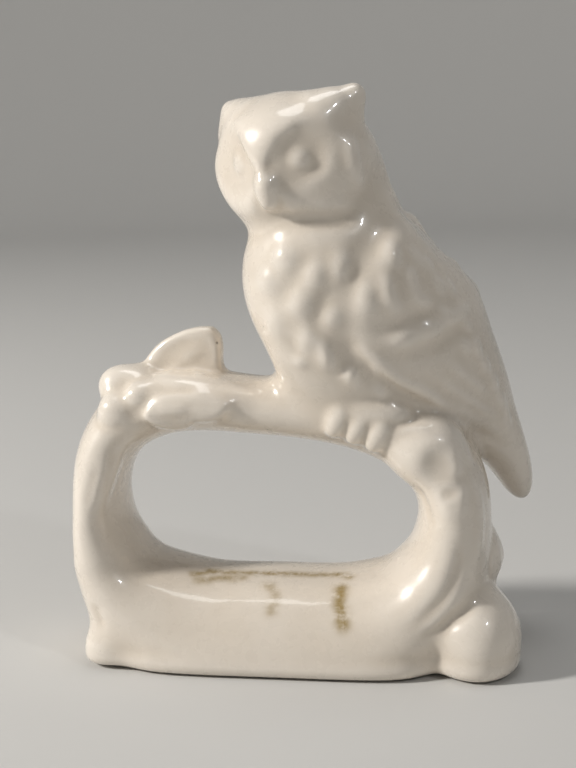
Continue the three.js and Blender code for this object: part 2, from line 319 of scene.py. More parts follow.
# The disc round each eye: the way that it faces, its depth from the head's middle, and its form.
DISC = (6.0, 10.2, -0.3)
DISC_FLOOR = 9.4
DISC_SIZES = (13.0, 3.0, 14.0)
# Side and up of the brow's line: the bill's root, the bend, and the tuft.
BROW = ((-0.1, -1.9), (4.3, 5.2), (11.5, 7.4))
EYE = (5.3, 9.7, 1.1)
EYE_DEPTH = 8.15
EYE_ROUND = 1.9
EYES = {1: "eye_left", -1: "eye_right"}
BILL_ROOT = (0.1, 10.2, -2.4)
BILL_TIP = (0.1, 9.6, -4.4)
BILL_PIT = (1.9, 10.3, -5.8)
BILL_PIT_SIZES = (0.9, 1.3, 1.9)


def on_head(place, s):
    """A place on the head's left (1), or its mirror image on the right (-1)."""
    return HEAD.at(place[0] * s, place[1], place[2])


def brow_cuts(s):
    """The two lines of the brow, from the bill up to the bend and on to the tuft, as cuts."""
    made = []
    for (side0, up0), (side1, up1) in zip(BROW, BROW[1:]):
        run = np.array([side1 - side0, up1 - up0])
        run /= np.linalg.norm(run)
        out = -run[1] * s * HEAD.side + run[0] * HEAD.up
        made.append((HEAD.at(side0 * s, 0.0, up0), out))
    return made


def model_tuft(clay, s):
    """An ear tuft that rises from the crown, with a slope under it down to the side of the face."""
    tip = on_head(TUFT_TIPS[s], s)
    clay.add(Horn(on_head(TUFT_ROOT, s), tip, TUFT_THICK, TUFT_ROUND[s]), 2.0)
    clay.add(Horn(on_head(TUFT_FOOT[s], s), tip, TUFT_FOOT_ROUND, TUFT_ROUND[s]), 1.6)
    clay.mark(EARS[s], Horn(on_head(TUFT_MARK, s), tip, 2.8, 2.2), 1.0)


def model_eye(clay, s):
    """A broad shallow disc under the brow, its low eyeball, and the pit between disc and bill."""
    axes = toward(HEAD, (DISC[0] * s, DISC[1], DISC[2]))
    dish = Egg(HEAD.centre + axes[1] * (DISC_FLOOR + DISC_SIZES[1]), DISC_SIZES, axes)
    clay.carve(Cut(dish, *brow_cuts(s)), 0.9)
    out = np.array(EYE) * (EYE_DEPTH / np.linalg.norm(EYE))
    eye = Egg(on_head(out, s), (EYE_ROUND,) * 3)
    clay.add(eye, 0.7)
    clay.mark(EYES[s], eye, 0.7)
    clay.carve(Egg(on_head(BILL_PIT, s), BILL_PIT_SIZES, HEAD.axes), 1.2)


def model_head(clay):
    """A flat crown between two tufts, a broad flat disc round each eye, and the small bill between them."""
    crown = [on_head(CROWN_ENDS, -1), on_head(CROWN_MIDDLE, 1), on_head(CROWN_ENDS, 1)]
    for start, end in zip(crown, crown[1:]):
        clay.add(Horn(start, end, CROWN_ROUND, CROWN_ROUND), 3.0)
    clay.add(Egg(on_head(FOREHEAD, 1), FOREHEAD_SIZES, HEAD.axes), 2.8)
    for s in BOTH:
        model_tuft(clay, s)
    for s in BOTH:
        model_eye(clay, s)
    bill = Horn(on_head(BILL_ROOT, 1), on_head(BILL_TIP, 1), 1.45, 1.1)
    clay.add(bill, 1.3)
    clay.mark("beak", bill)


# The wood's own forms: where each lies and its three radii, and how the two leaves are turned.
STUB = ((18.9, -4.9, 32.2), (4.9, 3.7, 4.2))
STUB_DIP = ((20.6, -10.4, 30.8), (2.2, 1.5, 2.6))
PERCH_LEAF = ((-15.2, -5.0, 39.9), (7.4, 2.6, 2.6))
PERCH_LEAF_LEAN = math.radians(-8.0)
FROND = ((-28.8, -7.0, 28.0), (6.2, 1.8, 1.7))
FROND_RUN = (-4.3, -2.0, -10.5)
FROND_LENGTH = 11.5
BERRY_BED = ((-24.2, -2.0, 42.2), (2.6, 3.0, 1.7))
ROOT_SWELLING = ((25.2, -5.4, 5.6), (5.8, 6.0, 5.8))


def model_stub(clay):
    """The broken branch end by the feet, with a dip in its end face."""
    stub = Egg(*STUB)
    clay.add(stub, 2.6)
    clay.mark("branch_stub", stub)
    clay.carve(Egg(*STUB_DIP), 1.6)


def model_leaves(clay):
    """The leaf along the perch, the one that hangs down the bough, and the lump under the berries."""
    across, rise = math.cos(PERCH_LEAF_LEAN), math.sin(PERCH_LEAF_LEAN)
    clay.add(Egg(*PERCH_LEAF, ((across, 0.0, rise), (0, 1, 0), (-rise, 0.0, across))), 2.6)
    down = np.array(FROND_RUN) / FROND_LENGTH
    across = np.cross(down, (0, 1, 0))
    across /= np.linalg.norm(across)
    frond = Egg(*FROND, (down, across, np.cross(down, across)))
    clay.add(frond, 1.4)
    clay.mark("leaf_hanging", frond)
    clay.add(Egg(*BERRY_BED), 2.0)


def model_root(clay):
    """The swollen root on the right."""
    clay.add(Egg(*ROOT_SWELLING), 2.0)


FOOT_RISE = 3.5
FOOT_EDGE = 2.2


def flatten_foot(clay):
    """Carries the outline just above the table straight down, and cuts it level, as the ground foot is."""
    ground = -clay.first[2]
    level = int(round(FOOT_RISE / VOXEL)) + ground
    clay.gap[:, :, :level] = clay.gap[:, :, level : level + 1]
    heights = (np.arange(clay.shape[2]) - ground) * VOXEL
    below = np.broadcast_to(-heights.astype(np.float32), clay.shape)
    clay.gap = -soft_min(-clay.gap, -below, FOOT_EDGE)


def build_clay():
    clay = Clay(*CAD_BOX)
    for node in MASSES:
        clay.join(node, MASS_BLEND)
    clay.blur(BLUR_CELLS)
    for node in DETAILS:
        clay.join(node, DETAIL_BLEND)
    model_head(clay)
    model_stub(clay)
    model_leaves(clay)
    model_root(clay)
    flatten_foot(clay)
    clay.soften(SOFTEN_PASSES)
    return clay


# ------------------------------------------------------------------------------------- modelling the skin


class Skin:
    """The surface mesh, which is pushed and pressed vertex by vertex."""

    def __init__(self, spots, quads):
        self.spots = spots
        self.quads = quads
        self.renew()

    def renew(self):
        """Works out the normals again."""
        a, b, c, d = (self.spots[self.quads[:, k]] for k in range(4))
        faces = np.cross(c - a, d - b)
        made = np.zeros_like(self.spots)
        for k in range(4):
            for axis in range(3):
                made[:, axis] += np.bincount(self.quads[:, k], faces[:, axis], len(self.spots))
        self.normals = made / np.maximum(np.linalg.norm(made, axis=1, keepdims=True), 1e-12)

    def nudge(self, centre, radius, move):
        """Drags the clay near a point, as a thumb does."""
        reach = np.sum((self.spots - np.array(centre)) ** 2, axis=1) / radius**2
        self.spots += np.exp(-reach)[:, None] * np.array(move)

    def ends(self):
        """Each quad's four edges, as pairs of vertices."""
        return np.concatenate([self.quads[:, [k, (k + 1) % 4]] for k in range(4)])

    def relax(self, passes):
        """Moves each vertex halfway to the middle of its neighbours, as melting glaze does."""
        ends = self.ends()
        count = np.bincount(ends[:, 0], minlength=len(self.spots))[:, None]
        for _ in range(passes):
            sums = np.zeros_like(self.spots)
            for axis in range(3):
                sums[:, axis] = np.bincount(ends[:, 0], self.spots[ends[:, 1], axis], len(self.spots))
            self.spots += 0.5 * (sums / count - self.spots)

    def calm_normals(self, passes):
        """Evens out the normals between neighbours, so no voxel terrace shows in the gloss."""
        ends = self.ends()
        for _ in range(passes):
            sums = self.normals.copy()
            for axis in range(3):
                sums[:, axis] += np.bincount(ends[:, 0], self.normals[ends[:, 1], axis], len(self.spots))
            self.normals = sums / np.maximum(np.linalg.norm(sums, axis=1, keepdims=True), 1e-12)

    def touch(self, view, x, z):
        """The point of the skin that is seen at x and z from the front or the back."""
        depth = self.spots[:, 1] * {"front": 1, "back": -1}[view]
        off = np.abs(self.spots[:, 0] - x) + np.abs(self.spots[:, 2] - z)
        near = off < max(TOUCH_REACH, off.min() + TOUCH_SLACK)
        return self.spots[np.argmin(np.where(near, depth, np.inf))].copy()


def smooth_step(t):
    """0 up to t = 0, 1 from t = 1, and a smooth rise between."""
    t = np.clip(t, 0, 1)
    return t * t * (3 - 2 * t)


def rounded(points, step=0.4):
    """The points of one smooth curve through the given ones."""
    points = np.array(points, float)
    made = [points[0]]
    for k in range(len(points) - 1):
        a, b, c, d = (points[min(max(k + j, 0), len(points) - 1)] for j in (-1, 0, 1, 2))
        count = max(2, int(np.linalg.norm(c - b) / step))
        for t in np.linspace(0, 1, count + 1)[1:]:
            bend = (c - a) * t + (2 * a - 5 * b + 4 * c - d) * t**2 + (3 * b - a - 3 * c + d) * t**3
            made.append(b + 0.5 * bend)
    return np.array(made)


TOUCH_REACH = 0.5
TOUCH_SLACK = 0.3
STROKE_FADE = 0.35


def stroke(skin, view, points, width, height):
    """A long soft ridge, or a groove where height is negative, that fades out at both ends."""
    path = np.array([skin.touch(view, *p) for p in rounded(points)])
    for _ in range(4):
        path[1:-1] = 0.5 * path[1:-1] + 0.25 * (path[:-2] + path[2:])
    lows, highs = path.min(0) - 3 * width, path.max(0) + 3 * width
    near = np.where(np.all((skin.spots > lows) & (skin.spots < highs), axis=1))[0]
    if not len(near):
        return
    spots = skin.spots[near]
    lengths = np.linalg.norm(np.diff(path, axis=0), axis=1)
    starts = np.concatenate([[0], np.cumsum(lengths)])
    best = np.full(len(near), 1e9)
    place = np.zeros(len(near))
    for k, length in enumerate(lengths):
        run = path[k + 1] - path[k]
        share = np.clip((spots - path[k]) @ run / max(length**2, 1e-9), 0, 1)
        off = np.linalg.norm(spots - path[k] - share[:, None] * run, axis=1)
        closer = off < best
        best = np.where(closer, off, best)
        place = np.where(closer, (starts[k] + share * length) / starts[-1], place)
    ends = smooth_step(place / STROKE_FADE) * smooth_step((1 - place) / STROKE_FADE)
    skin.spots[near] += skin.normals[near] * (height * ends * np.exp(-((best / width) ** 2)))[:, None]


def mound(skin, view, centre, along, width, height, tip):
    """A soft drop-shaped lump. along is its half length as a step on the view, and tip raises its far end."""
    middle = skin.touch(view, *centre)
    end = skin.touch(view, centre[0] + along[0], centre[1] + along[1])
    run = end - middle
    length = max(np.linalg.norm(run), 1e-6)
    near = np.where(np.sum((skin.spots - middle) ** 2, axis=1) < (2.5 * max(length, width)) ** 2)[0]
    away = skin.spots[near] - middle
    part = away @ run / length
    across = np.sqrt(np.maximum(np.sum(away**2, axis=1) - part**2, 0))
    part = part / length
    shape = np.exp(-(part**2) - (across / width) ** 2) * (1 + tip * np.clip(part, -1, 1))
    skin.spots[near] += skin.normals[near] * (height * shape)[:, None]


def spread_foot(skin):
    """The base stands a little wider at the table than at its waist."""
    x, y, z = skin.spots.T
    low = smooth_step((SPREAD_TOP - z) / SPREAD_TOP)
    inner = smooth_step((SPREAD_REACH - np.abs(x - SPREAD_MIDDLE)) / SPREAD_EDGE)
    skin.spots[:, 1] += SPREAD_SHARE * y * (low * inner)


SPREAD_TOP = 7.0
SPREAD_MIDDLE = -3.0
SPREAD_REACH = 24.0
SPREAD_EDGE = 6.0
SPREAD_SHARE = 0.07

# Each row: where the thumb presses, how far round it the clay follows, and which way it is dragged.
NUDGES = (
    ((-36.0, 0.0, 17.0), 8.0, (2.1, 0.0, 0.0)),
    ((-35.0, -4.0, 3.5), 5.5, (2.3, 0.0, 0.0)),
    ((-11.0, 0.0, 44.0), 2.5, (-0.6, 0.0, 0.0)),
    ((-6.0, 0.0, 43.5), 4.0, (0.0, 0.0, -0.5)),
    ((-8.0, -4.0, 58.0), 7.0, (-0.9, 0.0, 0.0)),
    ((-3.0, -3.0, 46.5), 4.0, (1.6, 0.0, -0.4)),
    ((18.5, 0.0, 63.5), 5.0, (-1.4, 0.0, -0.8)),
    ((20.0, 8.0, 62.0), 7.0, (-1.8, -0.6, -1.2)),
    ((24.0, 0.0, 58.0), 6.0, (-0.9, 0.0, -0.3)),
    ((12.5, 0.0, 70.5), 3.5, (1.0, 0.0, 0.0)),
    ((33.0, 10.0, 22.0), 5.0, (0.3, 0.0, -2.4)),
)

# Strokes, each row: x and z of its points, half width, height. Clumps, each row: x and z of the middle, half
# length along as a step in x and z, half width, height. All are placed from the front but BACK_LINES.
FACE_LINES = (
    (((8.4, 78.0), (9.2, 76.0), (9.7, 73.5), (10.1, 71.0), (10.5, 68.4)), 1.0, 0.45),
    (((10.4, 68.6), (9.2, 67.4), (6.0, 66.9), (2.0, 67.0)), 1.0, 0.25),
    (((1.6, 78.2), (0.4, 76.4), (-1.2, 73.6), (-2.4, 71.0)), 1.0, -0.5),
    (((-5.6, 65.4), (-2.2, 65.2), (1.2, 65.3), (6.1, 65.6), (8.9, 66.0), (11.6, 67.6)), 1.6, -0.85),
    (((5.6, 76.4), (6.7, 74.2), (6.2, 71.7), (3.8, 70.1), (1.0, 70.6)), 1.1, 0.26),
    (((-0.2, 69.8), (0.2, 67.6), (0.8, 65.9)), 0.7, 0.25),
)
BREAST_GROOVES = (
    (((4.4, 62.8), (1.3, 58.1), (-2.4, 53.0)), 1.2, -0.24),
    (((6.6, 56.8), (4.6, 52.6), (3.0, 48.4)), 1.2, -0.24),
    (((9.1, 50.0), (7.9, 46.5), (6.6, 43.6)), 1.7, -0.36),
    (((0.0, 50.0), (0.8, 47.2), (1.8, 44.6)), 1.1, -0.18),
    (((9.8, 44.6), (11.0, 41.2)), 1.3, -0.24),
    (((6.4, 62.4), (6.0, 56.4)), 1.2, -0.15),
    (((9.6, 60.0), (9.2, 51.6)), 1.2, -0.15),
    (((12.6, 60.4), (12.4, 53.4)), 1.3, -0.15),
    (((-1.8, 63.8), (-3.8, 58.5)), 1.1, -0.12),
)
BREAST_CLUMPS = (
    ((5.8, 46.2), (0.6, -1.2), 1.0, 0.45),
    ((8.4, 44.5), (0.6, -1.2), 1.0, 0.45),
    ((5.1, 48.1), (0.4, -1.2), 0.9, 0.35),
    ((1.0, 46.1), (0.4, -1.4), 1.1, 0.40),
    ((3.1, 49.8), (0.3, -1.4), 1.1, 0.35),
    ((11.7, 44.2), (0.7, -1.0), 0.9, 0.40),
    ((-0.4, 60.7), (-0.9, -1.9), 2.0, 0.63),
    ((-3.0, 57.5), (-0.6, -1.9), 1.9, 0.57),
    ((1.9, 54.2), (-0.8, -2.0), 1.8, 0.57),
    ((-2.2, 51.4), (0.2, -1.9), 1.7, 0.46),
    ((4.4, 58.4), (-0.6, -1.9), 1.7, 0.57),
    ((7.8, 59.4), (-0.2, -2.2), 1.8, 0.69),
    ((6.6, 52.4), (-0.6, -1.9), 1.7, 0.52),
    ((10.9, 55.2), (-0.1, -2.4), 1.9, 0.57),
    ((2.2, 48.6), (0.3, -1.7), 1.5, 0.46),
    ((4.8, 46.4), (0.5, -1.7), 1.5, 0.52),
    ((9.0, 43.4), (0.5, -1.4), 1.2, 0.57),
    ((12.7, 41.8), (0.6, -1.2), 1.1, 0.46),
)
WING_LINES = (
    (
        ((8.9, 49.8), (10.5, 47.2), (12.6, 45.3), (14.8, 42.9), (16.9, 41.5), (20.4, 39.1), (23.4, 37.1)),
        0.8, 0.45,
    ),
    (((8.0, 48.0), (9.6, 45.6), (11.8, 43.6), (14.0, 41.4), (16.4, 39.8), (20.0, 37.6)), 1.2, -0.45),
    (((9.6, 50.4), (14.0, 50.7), (18.3, 52.2), (22.8, 53.4)), 1.4, -0.3),
    (((12.0, 47.2), (15.9, 46.5), (18.5, 46.9), (21.8, 48.5), (25.4, 50.6)), 1.4, -0.3),
    (((20.5, 46.5), (24.5, 42.4), (28.6, 38.0)), 0.8, 0.2),
    (((18.5, 45.0), (24.5, 39.2), (30.0, 33.8)), 0.8, 0.2),
    (((15.8, 44.8), (21.7, 38.8), (28.4, 33.0)), 0.8, 0.2),
    (((24.4, 33.6), (28.6, 31.2), (32.2, 30.4)), 1.0, -0.25),
)
WING_CLUMPS = (
    ((15.6, 48.8), (1.8, 0.2), 1.4, 0.60),
    ((19.2, 49.9), (1.6, 0.4), 1.3, 0.68),
    ((22.8, 51.6), (1.5, 0.6), 1.2, 0.75),
    ((14.6, 60.8), (0.9, -2.2), 1.4, 0.52),
    ((17.6, 60.0), (1.0, -1.9), 1.2, 0.52),
    ((14.0, 56.4), (0.5, -2.4), 1.3, 0.60),
    ((17.2, 56.6), (0.9, -1.8), 1.1, 0.45),
    ((20.4, 56.4), (0.9, -1.7), 1.0, 0.52),
    ((18.4, 54.0), (1.4, -0.9), 1.0, 0.38),
    ((25.6, 46.8), (0.6, -1.4), 1.0, 0.52),
    ((26.8, 44.0), (0.6, -1.4), 1.0, 0.52),
    ((27.9, 41.0), (0.5, -1.4), 1.0, 0.52),
    ((29.0, 37.9), (0.5, -1.4), 1.0, 0.52),
    ((29.8, 35.0), (0.4, -1.3), 0.9, 0.45),
    ((19.1, 59.1), (0.7, -1.1), 1.0, 0.40),
    ((22.0, 55.6), (0.7, -1.2), 1.0, 0.45),
    ((16.9, 58.3), (0.6, -1.2), 1.0, 0.40),
    ((21.2, 52.6), (0.9, -0.9), 0.9, 0.40),
    ((14.7, 54.0), (0.6, -1.3), 1.1, 0.35),
    ((24.2, 50.2), (0.8, -0.8), 0.9, 0.40),
    ((24.2, 47.4), (0.6, -1.2), 0.9, 0.35),
)
BOUGH_LINES = (
    (((-26.2, 34.3), (-26.2, 31.4), (-26.8, 28.5), (-28.0, 24.5)), 0.9, -0.3),
    (((-26.6, 31.2), (-24.6, 33.0), (-22.8, 34.4)), 1.0, 0.25),
    (((-28.4, 31.4), (-29.4, 28.0), (-30.4, 23.4)), 0.6, -0.2),
    (((13.8, 34.6), (14.9, 36.0), (17.4, 36.4), (19.8, 36.0)), 0.6, 0.3),
    (((22.0, 33.6), (23.2, 31.4), (23.0, 29.0)), 0.9, 0.25),
    (((21.2, 28.4), (22.1, 26.2)), 1.3, -0.35),
    (((19.6, 28.6), (20.8, 26.2), (21.8, 23.0)), 1.1, 0.25),
    (((24.1, 28.8), (24.0, 26.4), (23.4, 23.0)), 1.0, 0.25),
    (((16.6, 28.0), (18.2, 24.7), (19.4, 21.7)), 0.7, -0.3),
    (((24.6, 30.4), (26.2, 25.6), (26.4, 20.6), (25.4, 15.6)), 1.0, 0.35),
    (((23.6, 22.6), (23.7, 19.6), (23.2, 16.0), (20.8, 11.6), (17.2, 8.6), (14.2, 7.4)), 1.1, -0.5),
    (((25.6, 13.4), (24.0, 10.8), (22.0, 8.9), (19.4, 7.2), (16.4, 6.2)), 1.0, -0.35),
    (((26.4, 11.4), (24.0, 10.6), (21.8, 8.8), (19.8, 6.2)), 1.0, -0.3),
    (((-29.8, 10.6), (-29.4, 7.8), (-27.8, 6.2)), 0.9, -0.35),
)
LEAF_LINES = (
    (((-13.4, 46.0), (-16.7, 44.6), (-20.0, 42.9)), 0.9, 0.25),
    (((-17.0, 44.3), (-15.2, 43.7), (-13.2, 42.9)), 0.8, 0.2),
    (((-21.0, 44.4), (-17.6, 46.6), (-14.8, 47.4)), 1.1, -0.2),
    (((-20.6, 41.9), (-17.6, 41.6), (-13.4, 41.6)), 0.9, -0.3),
    (((-20.2, 39.6), (-17.6, 38.9), (-14.4, 38.5)), 0.8, 0.3),
)
BACK_LINES = (
    (((9.5, 61.0), (13.0, 55.0), (17.5, 47.5), (22.0, 40.5), (25.5, 35.5)), 1.1, -0.5),
    (((4.0, 56.0), (5.5, 50.5), (9.0, 45.0), (14.0, 40.5), (19.0, 36.5)), 1.0, 0.35),
    (((6.5, 50.0), (10.5, 44.8), (15.5, 40.4), (20.5, 36.4)), 0.8, -0.3),
    (((8.5, 50.5), (12.5, 45.8), (17.0, 41.5), (21.5, 37.5)), 0.8, -0.3),
    (((11.0, 51.0), (14.8, 46.4), (18.8, 42.2), (22.6, 38.4)), 0.8, -0.3),
    (((19.0, 49.5), (22.0, 45.0), (25.0, 40.0)), 0.8, -0.25),
    (((21.5, 49.0), (24.4, 44.0), (27.0, 39.0)), 0.8, -0.25),
    (((25.0, 36.5), (27.5, 33.0), (29.5, 29.0)), 0.7, -0.25),
    (((27.5, 37.5), (29.6, 33.5), (31.0, 29.6)), 0.7, -0.25),
    (((-4.5, 67.2), (0.5, 66.4), (5.5, 66.6), (9.5, 68.0)), 1.5, -0.4),
    (((-29.0, 12.0), (-29.5, 19.0), (-28.0, 27.0), (-25.0, 33.0)), 1.2, -0.35),
    (((-31.2, 16.0), (-31.6, 23.0), (-30.0, 30.0)), 0.9, 0.3),
    (((22.0, 12.0), (23.4, 18.0), (22.6, 24.0), (19.8, 29.0)), 1.2, -0.35),
    (((26.0, 10.0), (26.8, 16.0), (26.4, 22.0)), 0.9, 0.3),
    (((-18.0, 40.5), (-11.0, 41.0), (-4.0, 41.0)), 0.9, -0.25),
    (((-24.0, 5.6), (-14.0, 4.6), (-4.0, 5.0), (6.0, 4.4), (16.0, 5.0)), 1.4, -0.3),
)

# Rows of short feathers on the back of the body and of the head: x and z of the first row's middle, the step
# to the next row, how many rows, places across a row, the shift of every other row, how much a row rises
# across, and one feather's form. The photo does not show the back, so these and BACK_LINES are guesses.
BODY_COVERTS = {
    "start": (7.5, 62.885), "step": (1.7, -2.5), "rows": 6, "across": (-7.6, -4.6, -1.6, 1.6, 4.6, 7.6),
    "shift": 1.5, "lean": 0.45, "form": ((0.7, -1.7), 1.15, 0.36),
}
HEAD_COVERTS = {
    "start": (1.4, 76.4), "step": (0.0, -2.8), "rows": 3, "across": (-4.6, -1.6, 1.4, 4.4),
    "shift": 1.4, "lean": 0.0, "form": ((0.3, -1.6), 1.1, 0.22),
}
# How much more a clump rises at its far end.
FRONT_TIP = 0.3
BACK_TIP = 0.5
RELAX_PASSES = 5
CALM_PASSES = 3


def feather_rows(skin, coverts):
    """Short feathers in staggered rows, placed from the back."""
    (x, z), (step_x, step_z) = coverts["start"], coverts["step"]
    for row in range(coverts["rows"]):
        for across in coverts["across"]:
            across += coverts["shift"] * (row % 2)
            spot = (x + step_x * row + across, z + step_z * row + coverts["lean"] * across)
            mound(skin, "back", spot, *coverts["form"], BACK_TIP)


def model_skin(skin):
    """Drags the clay to its outline, then presses in every line and lump, and lets the glaze settle."""
    for centre, radius, move in NUDGES:
        skin.nudge(centre, radius, move)
    spread_foot(skin)
    skin.renew()
    for lines in (FACE_LINES, BREAST_GROOVES, WING_LINES, BOUGH_LINES, LEAF_LINES):
        for points, width, height in lines:
            stroke(skin, "front", points, width, height)
    for clumps in (BREAST_CLUMPS, WING_CLUMPS):
        for centre, along, width, height in clumps:
            mound(skin, "front", centre, along, width, height, FRONT_TIP)
    for points, width, height in BACK_LINES:
        stroke(skin, "back", points, width, height)
    feather_rows(skin, BODY_COVERTS)
    feather_rows(skin, HEAD_COVERTS)
    skin.relax(RELAX_PASSES)
    skin.renew()
    skin.calm_normals(CALM_PASSES)


# ------------------------------------------------------------------------------------------------- pieces


def shared_edges(quads):
    """For each two faces that share an edge: both faces, and the edge's ends as each of them runs."""
    ends = np.stack([quads, np.roll(quads, -1, axis=1)], axis=2).reshape(-1, 2)
    owner = np.repeat(np.arange(len(quads)), 4)
    key = np.minimum(ends[:, 0], ends[:, 1]) * (quads.max() + 1) + np.maximum(ends[:, 0], ends[:, 1])
    order = np.argsort(key, kind="stable")
    same = np.where(key[order][1:] == key[order][:-1])[0]
    one, two = order[same], order[same + 1]
    return owner[one], owner[two], ends[one], ends[two]


def islands(count, a, b):
    """A number for each item, the same for all that the pairs (a, b) link together."""
    group = np.arange(count)
    while True:
        low = np.minimum(group[a], group[b])
        made = group.copy()
        np.minimum.at(made, group[a], low)
        np.minimum.at(made, group[b], low)
        for _ in range(4):
            made = made[made]
        if np.array_equal(made, group):
            return group
        group = made


VOTING_ROUNDS = 8
STRAY_ROUNDS = 3


def share_out(clay, skin):
    """The CAD node that each face belongs to: one patch for each node, its edge evened out."""
    kinds = len(clay.names)
    at = np.clip(np.round(skin.spots / VOXEL).astype(int) - clay.first, 0, np.array(clay.shape) - 1)
    owner = clay.owner[tuple(at.T)].astype(np.int64)
    ends = skin.ends()
    for _ in range(VOTING_ROUNDS):
        votes = np.bincount(ends[:, 0] * kinds + owner[ends[:, 1]], minlength=len(owner) * kinds)
        owner = votes.reshape(-1, kinds).argmax(axis=1)
    corners = np.sort(owner[skin.quads], axis=1)
    face = np.where(corners[:, 1] == corners[:, 2], corners[:, 1], corners[:, 0])
    one, two, _, _ = shared_edges(skin.quads)
    for _ in range(STRAY_ROUNDS):
        alike = face[one] == face[two]
        group = islands(len(face), one[alike], two[alike])
        sizes = np.bincount(group, minlength=len(face))
        largest = np.zeros(kinds, int)
        np.maximum.at(largest, face, sizes[group])
        stray = sizes[group] < largest[face]
        across = ~alike & stray[one]
        renamed = face.copy()
        renamed[group[one[across]]] = face[two[across]]
        across = ~alike & stray[two]
        renamed[group[two[across]]] = face[one[across]]
        face = np.where(stray, renamed[group], face)
    return face


# How far a piece's open edge turns in, and the clay's distance at the point where its closing fan meets.
LIP = 0.35
CAP_DEPTH = -1.2


def deep_spot(clay, middle, inward):
    """A point inside the clay, straight in from the middle of an open edge."""
    steps = np.arange(0.4, 6.0, 0.2)[:, None]
    gaps = clay.sample(middle + steps * inward)
    enough = np.where(gaps < CAP_DEPTH)[0]
    return middle + steps[enough[0] if len(enough) else int(np.argmin(gaps))] * inward


def shell_of(clay, skin, chosen, links):
    """One closed piece: the chosen faces, and at each open edge a short lip inwards and a fan of faces."""
    one, two, ends_one, ends_two = links
    rim = np.concatenate([ends_one[chosen[one] & ~chosen[two]], ends_two[chosen[two] & ~chosen[one]]])
    quads = skin.quads[chosen]
    used, compact = np.unique(quads, return_inverse=True)
    quads = compact.reshape(-1, 4)
    spots, normals = skin.spots[used], skin.normals[used]
    lip, fan, extra = [], [], []
    if len(rim):
        rim = np.searchsorted(used, rim)
        group = islands(len(used), rim[:, 0], rim[:, 1])
        for loop in np.unique(group[rim[:, 0]]):
            part = rim[group[rim[:, 0]] == loop]
            ring, place = np.unique(part, return_inverse=True)
            inner = place.reshape(-1, 2) + len(used) + len(extra)
            inward = -normals[ring].mean(axis=0)
            middle = spots[ring].mean(axis=0)
            extra.extend(spots[ring] - LIP * normals[ring])
            extra.append(deep_spot(clay, middle, inward / max(np.linalg.norm(inward), 1e-6)))
            tip = np.full(len(part), len(used) + len(extra) - 1)
            lip.append(np.column_stack([part[:, 1], part[:, 0], inner[:, 0], inner[:, 1]]))
            fan.append(np.column_stack([inner[:, 1], inner[:, 0], tip]))
    lip = np.concatenate(lip) if lip else np.zeros((0, 4), int)
    fan = np.concatenate(fan) if fan else np.zeros((0, 3), int)
    return used, quads, lip, fan, np.array(extra).reshape(-1, 3)


def face_normals(spots, faces):
    """Each face's flat normal, once for each of its corners."""
    made = np.cross(spots[faces[:, 1]] - spots[faces[:, 0]], spots[faces[:, 2]] - spots[faces[:, 0]])
    made /= np.maximum(np.linalg.norm(made, axis=1, keepdims=True), 1e-12)
    return np.repeat(made, faces.shape[1], axis=0)


def build_piece(name, clay, skin, chosen, links, notes):
    """A closed mesh of the chosen faces, with the whole skin's normals and the notes that the glaze reads."""
    used, quads, lip, fan, extra = shell_of(clay, skin, chosen, links)
    spots = np.concatenate([skin.spots[used], extra])
    data = bpy.data.meshes.new(name)
    data.from_pydata((spots * MM).tolist(), [], quads.tolist() + lip.tolist() + fan.tolist())
    data.polygons.foreach_set("use_smooth", np.ones(len(data.polygons), bool))
    outer = skin.normals[used][quads.reshape(-1)]
    loops = np.concatenate([outer, face_normals(spots, lip), face_normals(spots, fan)])
    data.normals_split_custom_set(loops.tolist())
    for note, values in notes.items():
        layer = data.attributes.new(note, "FLOAT", "POINT")
        padded = np.concatenate([values[used], np.zeros(len(extra))])
        layer.data.foreach_set("value", padded.astype(np.float32))
    piece = bpy.data.objects.new(name, data)
    bpy.context.scene.collection.objects.link(piece)
    return piece


# Passes of relaxing that take out fine and broad relief, and the rise of each that counts as fully raised.
FINE_PASSES = 25
BROAD_PASSES = 60
FINE_RISE = 0.09
BROAD_RISE = 0.22
FOOT_GLAZE_LINE = 0.45


def surface_notes(skin):
    """How hollow or raised the skin is, where the brown residue lies, and where the foot is unglazed."""
    smooth = Skin(skin.spots.copy(), skin.quads)
    smooth.relax(FINE_PASSES)
    fine = np.sum((skin.spots - smooth.spots) * skin.normals, axis=1)
    wide = Skin(smooth.spots.copy(), skin.quads)
    wide.relax(BROAD_PASSES)
    broad = np.sum((smooth.spots - wide.spots) * skin.normals, axis=1)
    total = fine / FINE_RISE + broad / BROAD_RISE
    stain = np.zeros(len(skin.spots))
    for points, width, strength in STAINS:
        path = np.array([skin.touch("front", *p) for p in rounded(points)])
        off = np.full(len(skin.spots), 1e9)
        for spot in path:
            off = np.minimum(off, np.linalg.norm(skin.spots - spot, axis=1))
        stain = np.maximum(stain, strength * np.exp(-((off / width) ** 2)))
    foot = smooth_step((FOOT_GLAZE_LINE - skin.spots[:, 2]) / 0.3) * (skin.normals[:, 2] < -0.5)
    return {
        # hollow drives the darker glaze in creases: partly glaze pooling, partly painted shade.
        "hollow": np.clip(-total, 0, 1),
        "raised": np.clip(total, 0, 1),
        "stain": stain,
        "foot": foot,
    }


# Points on the front view, half width, strength: brown residue inside the ring.
STAINS = (
    (((6.1, 12.4), (6.2, 10.8), (6.8, 8.4)), 1.05, 1.0),
    (((-4.8, 12.4), (-3.4, 11.6), (-3.6, 9.8)), 0.9, 0.55),
    (((-16.0, 13.4), (-8.0, 13.6), (0.0, 13.6), (7.0, 13.4)), 0.8, 0.85),
    (((-15.0, 12.8), (-9.0, 12.9)), 0.9, 0.7),
)


